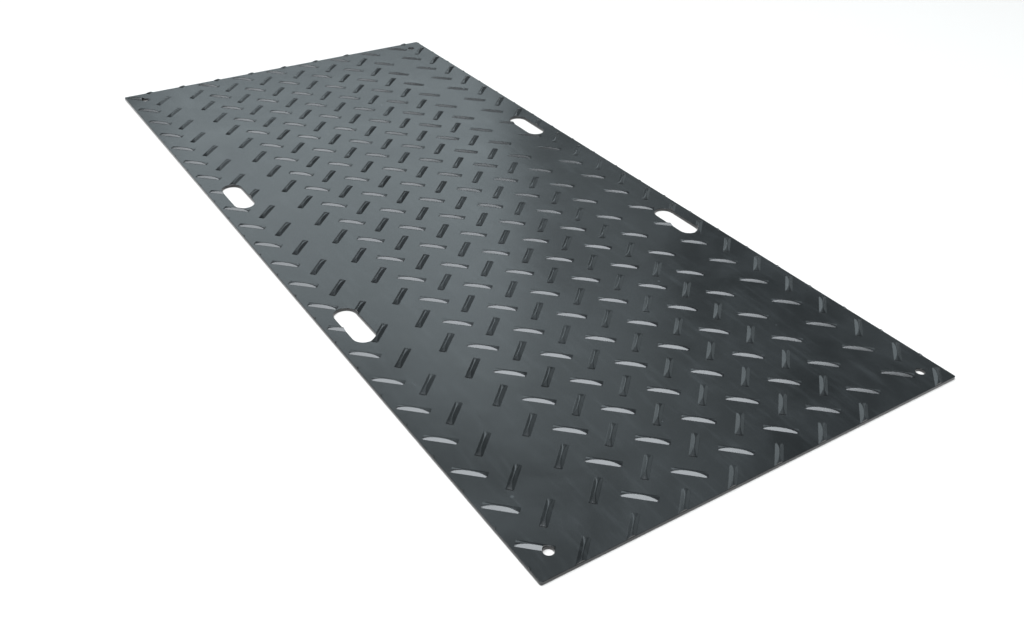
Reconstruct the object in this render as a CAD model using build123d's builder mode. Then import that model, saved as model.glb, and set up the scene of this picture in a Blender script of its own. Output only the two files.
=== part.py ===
from build123d import *
from math import cos, floor, radians
import os

# Ground protection mat: one moulded polyethylene sheet with a raised lug tread on its top.
# X runs along the mat, Y across it and Z up. The origin is the centre of the underside.
# All lengths are in millimetres and all angles in degrees.

# Sheet
mat_length = 2440.0
mat_width = 1100.0
sheet_thickness = 8.0
corner_radius = 4.0

# Hand slots, two along each long side
slot_length = 152.0
slot_width = 55.0
slot_spacing = 732.0
slot_edge_distance = 68.0

# Pin holes, one in each corner
hole_diameter = 22.0
hole_edge_distance = 53.0

# One tread lug: a bar with straight sides and blunt ends. Its sides lean in to a narrow crest.
# Seen from the side it is an arch of straight facets: from each end up to a shoulder, on up to
# the crest, and level along the crest.
lug_length = 72.0
lug_width = 17.0
lug_height = 5.0
lug_crest_width = 2.0
lug_end_height = 1.4
lug_shoulder_height = 3.6
lug_shoulder_spacing = 52.0
lug_crest_length = 22.0
lug_angle = 46.0

# Tread layout: rows run along the mat and lean in turn to the left and to the right.
# The outermost row stands over the long edge, which cuts off all but the ends of its lugs.
column_pitch = 110.9
first_column = 18.8
row_pitch = 61.1
border_row_pitch = 64.2
border_rows = 3
outer_row_overhang = 25.7
least_lane_pitch = 100.0

# Worked-out places of the slots and holes
slot_places = [
    (x, y)
    for x in (-slot_spacing / 2, slot_spacing / 2)
    for y in (-mat_width / 2 + slot_edge_distance, mat_width / 2 - slot_edge_distance)
]
hole_places = [
    (x, y)
    for x in (-mat_length / 2 + hole_edge_distance, mat_length / 2 - hole_edge_distance)
    for y in (-mat_width / 2 + hole_edge_distance, mat_width / 2 - hole_edge_distance)
]


def tread_rows():
    """Every tread row as (y, lean), where a lean of 1 rises to +Y along +X and -1 falls.

    The two halves of the mat mirror each other. Each has its border rows along the edge, then a
    plain lane, then as many field rows as fit up to the middle.
    """
    border = [mat_width / 2 + outer_row_overhang - border_row_pitch * n for n in range(border_rows)]
    border.reverse()
    field_rows = floor((border[0] - least_lane_pitch) / row_pitch + 0.5)
    field = [row_pitch * (n + 0.5) for n in range(field_rows)]
    field_leans = [(-1) ** n for n in range(field_rows)]
    border_leans = [field_leans[-1] * (-1) ** n for n in range(border_rows)]
    upper_half = list(zip(field + border, field_leans + border_leans))
    lower_half = [(-offset, -lean) for offset, lean in upper_half]
    return upper_half + lower_half


def row_columns(lean):
    """X of each lug in a row. The falling rows start the pattern, half a pitch before the others."""
    start = first_column - mat_length / 2 + (column_pitch / 2 if lean > 0 else 0)
    reach = mat_length / 2 + lug_length / 2 * cos(radians(lug_angle))
    before = floor((start + reach) / column_pitch)
    after = floor((reach - start) / column_pitch)
    return [start + column_pitch * n for n in range(-before, after + 1)]


lug_places = [
    Pos(x, y) * Rot(Z=lean * lug_angle) for y, lean in tread_rows() for x in row_columns(lean)
]

# One lug, along X at the origin: the arch seen from the side, trimmed to the leaning sides
with BuildPart() as lug:
    with BuildSketch(Plane.XZ.offset(-lug_width / 2)):
        with Locations((0, sheet_thickness)):
            Polygon(
                (-lug_length / 2, 0),
                (-lug_length / 2, lug_end_height),
                (-lug_shoulder_spacing / 2, lug_shoulder_height),
                (-lug_crest_length / 2, lug_height),
                (lug_crest_length / 2, lug_height),
                (lug_shoulder_spacing / 2, lug_shoulder_height),
                (lug_length / 2, lug_end_height),
                (lug_length / 2, 0),
                align=None,
            )
    extrude(amount=lug_width)
    with BuildSketch(Plane.YZ.offset(-lug_length / 2)):
        with Locations((0, sheet_thickness)):
            Polygon(
                (-lug_width / 2, 0),
                (-lug_crest_width / 2, lug_height),
                (lug_crest_width / 2, lug_height),
                (lug_width / 2, 0),
                align=None,
            )
    extrude(amount=lug_length, mode=Mode.INTERSECT)

# The whole tread, trimmed to the sheet's outline, so that the outer lugs end at its edges
with BuildPart() as tread:
    with Locations(*lug_places):
        add(lug.part)
    with BuildSketch():
        RectangleRounded(mat_length, mat_width, corner_radius)
    extrude(amount=sheet_thickness + lug_height, mode=Mode.INTERSECT)

with BuildPart() as mat:
    with BuildSketch():
        RectangleRounded(mat_length, mat_width, corner_radius)
    extrude(amount=sheet_thickness)
    add(tread.part)
    with BuildSketch():
        with Locations(*slot_places):
            SlotOverall(slot_length, slot_width)
        with Locations(*hole_places):
            Circle(hole_diameter / 2)
    extrude(amount=sheet_thickness + lug_height, mode=Mode.SUBTRACT)

os.makedirs("parts", exist_ok=True)
mat.part.label = "mat"
export_step(mat.part, "parts/mat.step")
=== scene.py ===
"""Looks of the ground protection mat: its moulded sheet, the light around it and the camera."""

from math import cos, floor, pi, radians, sin

import bmesh
import bpy
from mathutils import Matrix, Vector
from mathutils.geometry import delaunay_2d_cdt


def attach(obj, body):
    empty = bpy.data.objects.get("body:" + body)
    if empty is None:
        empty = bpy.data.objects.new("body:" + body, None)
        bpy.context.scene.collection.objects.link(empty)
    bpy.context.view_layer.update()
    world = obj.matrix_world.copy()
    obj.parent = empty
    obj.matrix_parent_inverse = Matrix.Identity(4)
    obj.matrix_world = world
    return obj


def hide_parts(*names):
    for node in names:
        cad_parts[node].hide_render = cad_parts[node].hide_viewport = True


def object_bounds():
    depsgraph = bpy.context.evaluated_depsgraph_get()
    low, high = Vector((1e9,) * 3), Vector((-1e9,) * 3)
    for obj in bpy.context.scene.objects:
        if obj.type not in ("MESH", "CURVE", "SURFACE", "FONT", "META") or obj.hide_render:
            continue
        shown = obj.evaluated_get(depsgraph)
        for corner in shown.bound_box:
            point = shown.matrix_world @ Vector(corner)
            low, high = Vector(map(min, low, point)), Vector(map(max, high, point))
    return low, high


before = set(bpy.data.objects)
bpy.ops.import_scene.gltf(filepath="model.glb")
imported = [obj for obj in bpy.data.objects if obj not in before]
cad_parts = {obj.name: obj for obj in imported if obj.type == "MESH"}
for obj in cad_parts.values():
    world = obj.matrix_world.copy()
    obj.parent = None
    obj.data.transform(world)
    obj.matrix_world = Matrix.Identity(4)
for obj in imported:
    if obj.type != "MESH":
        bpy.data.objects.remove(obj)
cad_low, cad_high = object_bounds()
MM = 0.001

# Camera: where it stands, the point on the sheet that it aims at, its roll and its lens
CAMERA_PLACE = Vector((-2.173, 1.268, 1.362))
CAMERA_AIM = Vector((-0.507, 0.143, 0.008))
CAMERA_ROLL = radians(1.64)
CAMERA_LENS_MM = 36.31
CAMERA_SENSOR_MM = 36.0

# Light: a cool sky white low down and a plainer white from the ceiling, with distances in metres
SKY_WHITE, CEILING_WHITE = "#eaf9ff", "#f4faff"
SOFTBOX_DISTANCE, CEILING = 12.0, 11.7

# Floor, in millimetres: its reach, and the gap that keeps it clear of the mat's underside
FLOOR_HALF_SIZE, FLOOR_GAP = 20000.0, 0.2

# Plastic, its dust and the floor. The floor is a shade warm, which evens out the cool light.
POLYETHYLENE, DUST, FLOOR_PAINT = "#151718", "#6c7174", "#fdf7f2"

# Spacing of each surface pattern, in millimetres. The real mould grain is about half a millimetre.
# It is drawn five times coarser, because a pixel of the picture covers one to four millimetres.
GRAIN_MM, WAVE_MM, SMUDGE_MM = 2.5, 120.0, 260.0
SCUFF_MM, SCUFF_STRETCH, SPECK_SPACING_MM = 14.0, 7.0, 130.0

# Sheet, in millimetres
LENGTH = (cad_high[0] - cad_low[0]) / MM
WIDTH = (cad_high[1] - cad_low[1]) / MM
LUG_HEIGHT = 5.0
SHEET_TOP = (cad_high[2] - cad_low[2]) / MM - LUG_HEIGHT
CORNER_RADIUS = 4.0
SLOT_LENGTH, SLOT_WIDTH = 152.0, 55.0
SLOT_SPACING, SLOT_EDGE_DISTANCE = 732.0, 68.0
HOLE_SIZE, HOLE_EDGE_DISTANCE = 22.0, 53.0
LEAST_CORNER_RADIUS = 0.5

# Softened rims: their reach in millimetres, and the share of it at which their slope changes
RIM_SOFTENING, RIM_STEP = 0.8, 0.3

# Cutting tools, in millimetres: how far the uncut block and the cutters stand out past the sheet
BLOCK_MARGIN_ALONG, BLOCK_MARGIN_ACROSS, BLOCK_FOOT = 60.0, 80.0, -20.0
CUTTER_FOOT, CUTTER_HEAD = -5.0, 10.0
SAME_PLACE, SAME_PLACE_IN_PLAN = 1e-3, 1e-5

# Tread pattern, in millimetres
COLUMN_PITCH, FIRST_COLUMN = 110.9, 18.8
ROW_PITCH, BORDER_ROW_PITCH, BORDER_ROWS = 61.1, 64.2, 3
OUTER_ROW_OVERHANG, LEAST_LANE_PITCH = 25.7, 100.0

# One lug, in millimetres: a bar whose sides lean in to a crest that rises and falls in an arch
LUG_LENGTH, LUG_WIDTH, LUG_ANGLE = 72.0, 17.0, radians(46.0)
CREST_WIDTH, END_HEIGHT, END_DEPTH, ARCH_POWER = 2.0, 1.2, 0.45, 2.6
CREST_ROUNDING, FOOT_FILLET = 1.2, 0.4

# Grid lines of a lug: shares of its half length up to the end face, and distances in millimetres
# from the edge of its crest, from its foot and out on to the level sheet around it
ARCH_STATIONS = (0.0, 0.30, 0.52, 0.72, 0.88)
CREST_INSET, CREST_OUTSET, SIDE_START = 0.9, 0.1, 1.1
FOOT_INSET, FILLET_REACH, LUG_MARGIN = 0.5, 0.4, 0.9

# Shading: the angle past which an edge is sharp, and how close to upright a normal counts as
# level, or as near enough to a level face to share its normal
SHARP_EDGE = radians(50)
LEVEL_FACE, NEARLY_LEVEL_FACE, LEVEL_GAP = 0.9999, 0.6, 1e-6


def linear(hex_colour):
    """An sRGB hex colour as linear red, green, blue and alpha."""
    parts = [int(hex_colour[i : i + 2], 16) / 255 for i in (1, 3, 5)]
    return tuple(p / 12.92 if p <= 0.04045 else ((p + 0.055) / 1.055) ** 2.4 for p in parts) + (1.0,)


def add_node(tree, kind, inputs=None, **settings):
    """Adds a node, sets its properties and feeds its inputs with values or with output sockets."""
    node = tree.nodes.new(kind)
    for name, value in settings.items():
        setattr(node, name, value)
    for name, value in (inputs or {}).items():
        if isinstance(value, bpy.types.NodeSocket):
            tree.links.new(value, node.inputs[name])
        else:
            node.inputs[name].default_value = value
    return node


def tread_rows():
    """Every tread row as (y, lean), where a lean of 1 rises to +Y along +X and -1 falls."""
    border = [WIDTH / 2 + OUTER_ROW_OVERHANG - BORDER_ROW_PITCH * n for n in range(BORDER_ROWS)]
    border.reverse()
    field_rows = floor((border[0] - LEAST_LANE_PITCH) / ROW_PITCH + 0.5)
    field = [ROW_PITCH * (n + 0.5) for n in range(field_rows)]
    leans = [(-1) ** n for n in range(field_rows)]
    leans += [leans[-1] * (-1) ** n for n in range(BORDER_ROWS)]
    upper_half = list(zip(field + border, leans))
    return upper_half + [(-offset, -lean) for offset, lean in upper_half]


def row_columns(lean):
    """X of each lug in a row."""
    start = FIRST_COLUMN - LENGTH / 2 + (COLUMN_PITCH / 2 if lean > 0 else 0)
    reach = LENGTH / 2 + LUG_LENGTH / 2 * cos(LUG_ANGLE)
    before = floor((start + reach) / COLUMN_PITCH)
    after = floor((reach - start) / COLUMN_PITCH)
    return [start + COLUMN_PITCH * n for n in range(-before, after + 1)]


def soft_low(a, b, reach):
    """The lower of two heights, blended where they come within reach of each other."""
    near = max(reach - abs(a - b), 0.0) / reach
    return min(a, b) - near * near * reach / 4


def lug_patch():
    """One lug as a grid of points (along, across, up), level all round in its two outer rings."""
    half_length, half_width = LUG_LENGTH / 2, LUG_WIDTH / 2
    side_slope = LUG_HEIGHT / (half_width - CREST_WIDTH / 2)
    half = [half_length * share for share in ARCH_STATIONS]
    half += [half_length - END_DEPTH, half_length, half_length + LUG_MARGIN]
    stations = [-along for along in reversed(half[1:])] + half
    rows = []
    for along in stations:
        share = min(abs(along) / half_length, 1.0)
        arch = LUG_HEIGHT - (LUG_HEIGHT - END_HEIGHT) * share**ARCH_POWER
        edge = half_width - arch / side_slope
        side = [0.0, max(edge - CREST_INSET, edge / 2), edge + CREST_OUTSET, edge + SIDE_START]
        side += [half_width - FOOT_INSET, half_width + FILLET_REACH, half_width + LUG_MARGIN]
        row = []
        for across in [-place for place in reversed(side[1:])] + side:
            up = soft_low(arch, side_slope * (half_width - abs(across)), CREST_ROUNDING)
            row.append((along, across, max(-soft_low(-up, 0.0, FOOT_FILLET), 0.0)))
        rows.append(row)
    last_row, last_column = len(rows) - 1, len(rows[0]) - 1
    for i, row in enumerate(rows):
        for j, (along, across, _) in enumerate(row):
            if not (1 < i < last_row - 1 and 1 < j < last_column - 1):
                row[j] = (along, across, 0.0)
    return rows


def patch_border(rows, columns):
    """Grid places around the outer ring of a patch, in order."""
    ring = [(i, 0) for i in range(rows)]
    ring += [(rows - 1, j) for j in range(1, columns)]
    ring += [(i, columns - 1) for i in range(rows - 2, -1, -1)]
    ring += [(0, j) for j in range(columns - 2, 0, -1)]
    return ring


def treaded_block(name):
    """A block a little larger than the sheet, with every lug whole on its top, as a closed mesh.

    Each lug is a grid of its own. The level top between them is one flat sheet of triangles, with
    a hole where each grid goes.
    """
    patch = lug_patch()
    rows, columns = len(patch), len(patch[0])
    border = patch_border(rows, columns)
    half_length, half_width = LENGTH / 2 + BLOCK_MARGIN_ALONG, WIDTH / 2 + BLOCK_MARGIN_ACROSS
    corners = [Vector((x, y)) for x, y in (
        (-half_length, -half_width), (half_length, -half_width),
        (half_length, half_width), (-half_length, half_width))]
    mesh = bmesh.new()
    flat_points, flat_faces = list(corners), [[0, 1, 2, 3]]
    for row_y, lean in tread_rows():
        turn = Matrix.Rotation(lean * LUG_ANGLE, 2)
        for column_x in row_columns(lean):
            centre = Vector((column_x, row_y))
            grid = []
            for row in patch:
                places = [(centre + turn @ Vector((along, across)), up) for along, across, up in row]
                grid.append([mesh.verts.new((*place, SHEET_TOP + up)) for place, up in places])
            for i in range(rows - 1):
                for j in range(columns - 1):
                    mesh.faces.new((grid[i][j], grid[i + 1][j], grid[i + 1][j + 1], grid[i][j + 1]))
            first = len(flat_points)
            flat_points += [grid[i][j].co.to_2d() for i, j in border]
            flat_faces.append(list(range(first, len(flat_points))))
    points, _, faces, _, _, sources = delaunay_2d_cdt(flat_points, [], flat_faces, 1, SAME_PLACE_IN_PLAN)
    level = [mesh.verts.new((*point, SHEET_TOP)) for point in points]
    for face, source in zip(faces, sources):
        if source == [0]:
            mesh.faces.new([level[i] for i in face])
    foot = [mesh.verts.new((*corner, BLOCK_FOOT)) for corner in corners]
    head = [mesh.verts.new((*corner, SHEET_TOP)) for corner in corners]
    mesh.faces.new(list(reversed(foot)))
    for i in range(4):
        j = (i + 1) % 4
        mesh.faces.new((foot[i], foot[j], head[j], head[i]))
    bmesh.ops.remove_doubles(mesh, verts=mesh.verts, dist=SAME_PLACE)
    bmesh.ops.recalc_face_normals(mesh, faces=mesh.faces)
    return finished_mesh(mesh, name)


def finished_mesh(mesh, name):
    """Turns a bmesh in millimetres into an object in metres."""
    bmesh.ops.scale(mesh, vec=(MM, MM, MM), verts=mesh.verts)
    data = bpy.data.meshes.new(name)
    mesh.to_mesh(data)
    mesh.free()
    thing = bpy.data.objects.new(name, data)
    bpy.context.scene.collection.objects.link(thing)
    return thing


def stadium(centre, length, width, inset, steps=12):
    """The outline of a slot, or of a hole where length and width are the same.

    A negative inset grows it outwards.
    """
    radius = width / 2 - inset
    straight = (length - width) / 2
    points = []
    for side in (1, -1):
        for k in range(steps + 1):
            angle = -pi / 2 + pi * k / steps
            points.append((centre[0] + side * (straight + radius * cos(angle)),
                           centre[1] + side * radius * sin(angle)))
    return points


def rounded_rectangle(length, width, radius, inset, steps=4):
    """The sheet's outline, drawn in by an inset."""
    radius = max(radius - inset, LEAST_CORNER_RADIUS)
    points = []
    for quarter in range(4):
        sx, sy = ((1, 1), (-1, 1), (-1, -1), (1, -1))[quarter]
        for k in range(steps + 1):
            angle = pi / 2 * (quarter + k / steps)
            points.append((sx * (length / 2 - inset - radius) + radius * cos(angle),
                           sy * (width / 2 - inset - radius) + radius * sin(angle)))
    return points


def column_between(mesh, outlines):
    """Closes a stack of outlines, each with its height, into one solid column."""
    rings = [[mesh.verts.new((x, y, height)) for x, y in outline] for height, outline in outlines]
    count = len(rings[0])
    for low, high in zip(rings, rings[1:]):
        for i in range(count):
            j = (i + 1) % count
            mesh.faces.new((low[i], low[j], high[j], high[i]))
    mesh.faces.new(list(reversed(rings[0])))
    mesh.faces.new(rings[-1])


def wall_heights(outward):
    """The wall of the sheet or of a hole as (height, inset), softened at both rims."""
    rim = RIM_SOFTENING * outward
    lower = [(0.0, rim), (RIM_STEP * RIM_SOFTENING, RIM_STEP * rim), (RIM_SOFTENING, 0.0)]
    return lower + [(SHEET_TOP - height, inset) for height, inset in reversed(lower)]


def sheet_outline_cutter():
    """The sheet's outline as a solid column, up past the lugs."""
    mesh = bmesh.new()
    walls = wall_heights(1)
    walls.append((SHEET_TOP + CUTTER_HEAD, walls[-1][1]))
    column_between(mesh, [
        (height, rounded_rectangle(LENGTH, WIDTH, CORNER_RADIUS, inset)) for height, inset in walls])
    return finished_mesh(mesh, "outline_cutter")


def openings_cutter():
    """The four hand slots and the four corner holes as solid columns, flared at their rims."""
    mesh = bmesh.new()
    walls = wall_heights(-1)
    walls = [(CUTTER_FOOT, walls[0][1])] + walls + [(SHEET_TOP + CUTTER_HEAD, walls[-1][1])]
    slot_y, hole_y = WIDTH / 2 - SLOT_EDGE_DISTANCE, WIDTH / 2 - HOLE_EDGE_DISTANCE
    hole_x = LENGTH / 2 - HOLE_EDGE_DISTANCE
    for sx in (-1, 1):
        for sy in (-1, 1):
            slot = (sx * SLOT_SPACING / 2, sy * slot_y)
            hole = (sx * hole_x, sy * hole_y)
            for centre, length, width in ((slot, SLOT_LENGTH, SLOT_WIDTH), (hole, HOLE_SIZE, HOLE_SIZE)):
                column_between(mesh, [
                    (height, stadium(centre, length, width, inset)) for height, inset in walls])
    bmesh.ops.remove_doubles(mesh, verts=mesh.verts, dist=SAME_PLACE)
    bmesh.ops.recalc_face_normals(mesh, faces=mesh.faces)
    return finished_mesh(mesh, "openings_cutter")


def cut(thing, cutter, operation):
    """Applies one boolean cut and removes the cutter."""
    modifier = thing.modifiers.new("cut", "BOOLEAN")
    modifier.operation = operation
    modifier.solver = "MANIFOLD"
    modifier.object = cutter
    bpy.context.view_layer.update()
    evaluated = thing.evaluated_get(bpy.context.evaluated_depsgraph_get())
    data = bpy.data.meshes.new_from_object(evaluated)
    thing.modifiers.clear()
    thing.data = data
    bpy.data.objects.remove(cutter)


def shade_smooth(thing):
    """Smooth shading with the level faces kept truly level, so that they mirror evenly."""
    data = thing.data
    data.polygons.foreach_set("use_smooth", [True] * len(data.polygons))
    data.set_sharp_from_angle(angle=SHARP_EDGE)
    normals = [tuple(corner.vector) for corner in data.corner_normals]
    levels = (0.0, SHEET_TOP * MM)
    level_points = set()
    for polygon in data.polygons:
        if abs(polygon.normal.z) > LEVEL_FACE:
            level_points.update(
                v for v in polygon.vertices
                if min(abs(data.vertices[v].co.z - z) for z in levels) < LEVEL_GAP)
    for polygon in data.polygons:
        if abs(polygon.normal.z) > NEARLY_LEVEL_FACE:
            for corner, point in zip(polygon.loop_indices, polygon.vertices):
                if point in level_points:
                    normals[corner] = (0.0, 0.0, 1.0 if polygon.normal.z > 0 else -1.0)
    data.normals_split_custom_set(normals)


def moulded_black_polyethylene():
    """Black high-density polyethylene, pressed in a steel mould.

    To the eye it is nearly black with a waxy satin sheen: it greys over where it mirrors the
    bright side of the room at a low angle, and it stays dark where it mirrors the dark side.
    """
    material = bpy.data.materials.new("moulded_black_polyethylene")
    material.use_nodes = True
    tree = material.node_tree
    tree.nodes.clear()
    place = add_node(tree, "ShaderNodeTexCoord").outputs["Object"]
    grain = add_node(tree, "ShaderNodeTexNoise", {
        "Vector": place, "Scale": 1 / (GRAIN_MM * MM), "Detail": 2.0})
    waves = add_node(tree, "ShaderNodeTexNoise", {
        "Vector": place, "Scale": 1 / (WAVE_MM * MM), "Detail": 2.0})
    smudges = add_node(tree, "ShaderNodeTexNoise", {
        "Vector": place, "Scale": 1 / (SMUDGE_MM * MM), "Detail": 5.0, "Roughness": 0.6, "Distortion": 0.6})
    along_mat = add_node(tree, "ShaderNodeMapping", {
        "Vector": place, "Rotation": (0.0, 0.0, radians(12)), "Scale": (1 / SCUFF_STRETCH, 1.0, 1.0)})
    scuffs = add_node(tree, "ShaderNodeTexNoise", {
        "Vector": along_mat.outputs["Vector"], "Scale": 1 / (SCUFF_MM * MM), "Detail": 3.0})
    specks = add_node(tree, "ShaderNodeTexVoronoi", {"Vector": place, "Scale": 1 / (SPECK_SPACING_MM * MM)})
    relief = add_node(tree, "ShaderNodeBump", {
        "Height": grain.outputs["Fac"], "Strength": 0.06, "Distance": 0.3 * MM})
    sag = add_node(tree, "ShaderNodeBump", {
        "Height": waves.outputs["Fac"], "Strength": 0.5, "Distance": 1.0 * MM,
        "Normal": relief.outputs["Normal"]})
    # Handling has smudged the sheen in patches, so the mirrored light is uneven over the flat lanes
    sheen = add_node(tree, "ShaderNodeMapRange", {
        "Value": smudges.outputs["Fac"],
        "From Min": 0.35, "From Max": 0.65, "To Min": 0.19, "To Max": 0.27})
    # Dry dust lies in a faint grey haze, rubbed into streaks along the sheet, with a few pale specks
    haze = add_node(tree, "ShaderNodeMapRange", {
        "Value": smudges.outputs["Fac"],
        "From Min": 0.42, "From Max": 0.64, "To Min": 0.0, "To Max": 0.08})
    streaks = add_node(tree, "ShaderNodeMapRange", {
        "Value": scuffs.outputs["Fac"],
        "From Min": 0.52, "From Max": 0.80, "To Min": 0.0, "To Max": 0.09})
    film = add_node(tree, "ShaderNodeMath", {
        0: haze.outputs["Result"], 1: streaks.outputs["Result"]}, operation="ADD")
    speck = add_node(tree, "ShaderNodeMapRange", {
        "Value": specks.outputs["Distance"],
        "From Min": 0.02, "From Max": 0.035, "To Min": 0.35, "To Max": 0.0})
    dust = add_node(tree, "ShaderNodeMath", {
        0: film.outputs["Value"], 1: speck.outputs["Result"]}, operation="MAXIMUM")
    colour = add_node(tree, "ShaderNodeMix", {
        "Factor": dust.outputs[0], "A": linear(POLYETHYLENE), "B": linear(DUST)}, data_type="RGBA")
    # The typical IOR is 1.54. It is raised to match the strong sheen of the real sheet at low angles
    shader = add_node(tree, "ShaderNodeBsdfPrincipled", {
        "Base Color": colour.outputs["Result"], "IOR": 1.65,
        "Roughness": sheen.outputs["Result"], "Normal": sag.outputs["Normal"]})
    add_node(tree, "ShaderNodeOutputMaterial", {"Surface": shader.outputs["BSDF"]})
    return material


def matt_white_floor():
    """Matt painted floor: plain white where it shows, with the object's own soft shadow."""
    material = bpy.data.materials.new("matt_white_floor")
    material.use_nodes = True
    tree = material.node_tree
    tree.nodes.clear()
    shader = add_node(tree, "ShaderNodeBsdfPrincipled", {
        "Base Color": linear(FLOOR_PAINT), "Roughness": 0.9, "Specular IOR Level": 0.0})
    add_node(tree, "ShaderNodeOutputMaterial", {"Surface": shader.outputs["BSDF"]})
    return material


def add_floor():
    """A wide level floor under the mat."""
    mesh = bmesh.new()
    bmesh.ops.create_grid(mesh, x_segments=1, y_segments=1, size=FLOOR_HALF_SIZE)
    floor_plane = finished_mesh(mesh, "floor")
    floor_plane.location.z = cad_low[2] - FLOOR_GAP * MM
    floor_plane.data.materials.append(matt_white_floor())


def add_panel(name, place, size, radiance, colour=CEILING_WHITE):
    """A flat soft light, facing down. Its radiance is the white level that it shows."""
    light = bpy.data.lights.new(name, "AREA")
    light.shape = "RECTANGLE"
    light.size, light.size_y = size
    light.color = linear(colour)[:3]
    light.energy = radiance * pi * size[0] * size[1]
    lamp = bpy.data.objects.new(name, light)
    lamp.location = place
    bpy.context.scene.collection.objects.link(lamp)
    return lamp


def add_softbox(name, heading, height_angle, size, radiance):
    """A soft light panel on a stand, turned towards the mat's middle."""
    heading, height_angle = radians(heading), radians(height_angle)
    way = Vector((cos(heading) * cos(height_angle), sin(heading) * cos(height_angle), sin(height_angle)))
    lamp = add_panel(name, way * SOFTBOX_DISTANCE, size, radiance, SKY_WHITE)
    lamp.rotation_euler = (-way).to_track_quat("-Z", "Y").to_euler()


def add_room_light(strength):
    """Even light from all round."""
    world = bpy.data.worlds.new("room")
    world.use_nodes = True
    background = world.node_tree.nodes["Background"]
    background.inputs["Color"].default_value = linear(SKY_WHITE)
    background.inputs["Strength"].default_value = strength
    bpy.context.scene.world = world


def add_camera():
    """The camera at the photograph's viewing angle."""
    camera = bpy.data.cameras.new("camera")
    camera.sensor_fit = "HORIZONTAL"
    camera.sensor_width = CAMERA_SENSOR_MM
    camera.lens = CAMERA_LENS_MM
    viewer = bpy.data.objects.new("camera", camera)
    aim = (CAMERA_AIM - CAMERA_PLACE).to_track_quat("-Z", "Y").to_matrix().to_4x4()
    viewer.matrix_world = Matrix.Translation(CAMERA_PLACE) @ aim @ Matrix.Rotation(CAMERA_ROLL, 4, "Z")
    bpy.context.scene.collection.objects.link(viewer)
    bpy.context.scene.camera = viewer


def add_mat():
    """The moulded sheet with its tread, cut to its outline and openings."""
    sheet = treaded_block("mat_sheet")
    cut(sheet, sheet_outline_cutter(), "INTERSECT")
    cut(sheet, openings_cutter(), "DIFFERENCE")
    shade_smooth(sheet)
    sheet.data.materials.clear()
    sheet.data.materials.append(moulded_black_polyethylene())
    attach(sheet, "root")
    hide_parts("mat")


add_camera()
add_mat()
add_floor()
add_room_light(0.18)
# The flat sheet mirrors the low softboxes: the bright one at its far end, the dim ones close by
add_softbox("far_left_softbox", heading=-21, height_angle=29, size=(5.1, 4.7), radiance=1.38)
add_softbox("far_middle_softbox", heading=-39, height_angle=34, size=(2.8, 4.0), radiance=0.50)
add_softbox("front_softbox", heading=-41, height_angle=54, size=(5.4, 8.0), radiance=0.44)
add_softbox("right_fill_softbox", heading=-78, height_angle=21, size=(7.0, 3.8), radiance=0.52)
# The sides of the lugs that face the camera mirror the ceiling panels
add_panel("near_ceiling_panel", place=(-2.1, 1.9, CEILING), size=(7.6, 7.6), radiance=7.4)
add_panel("far_ceiling_panel", place=(4.2, 3.4, CEILING), size=(5.0, 5.4), radiance=5.4)
bpy.context.scene.view_settings.view_transform = "Standard"
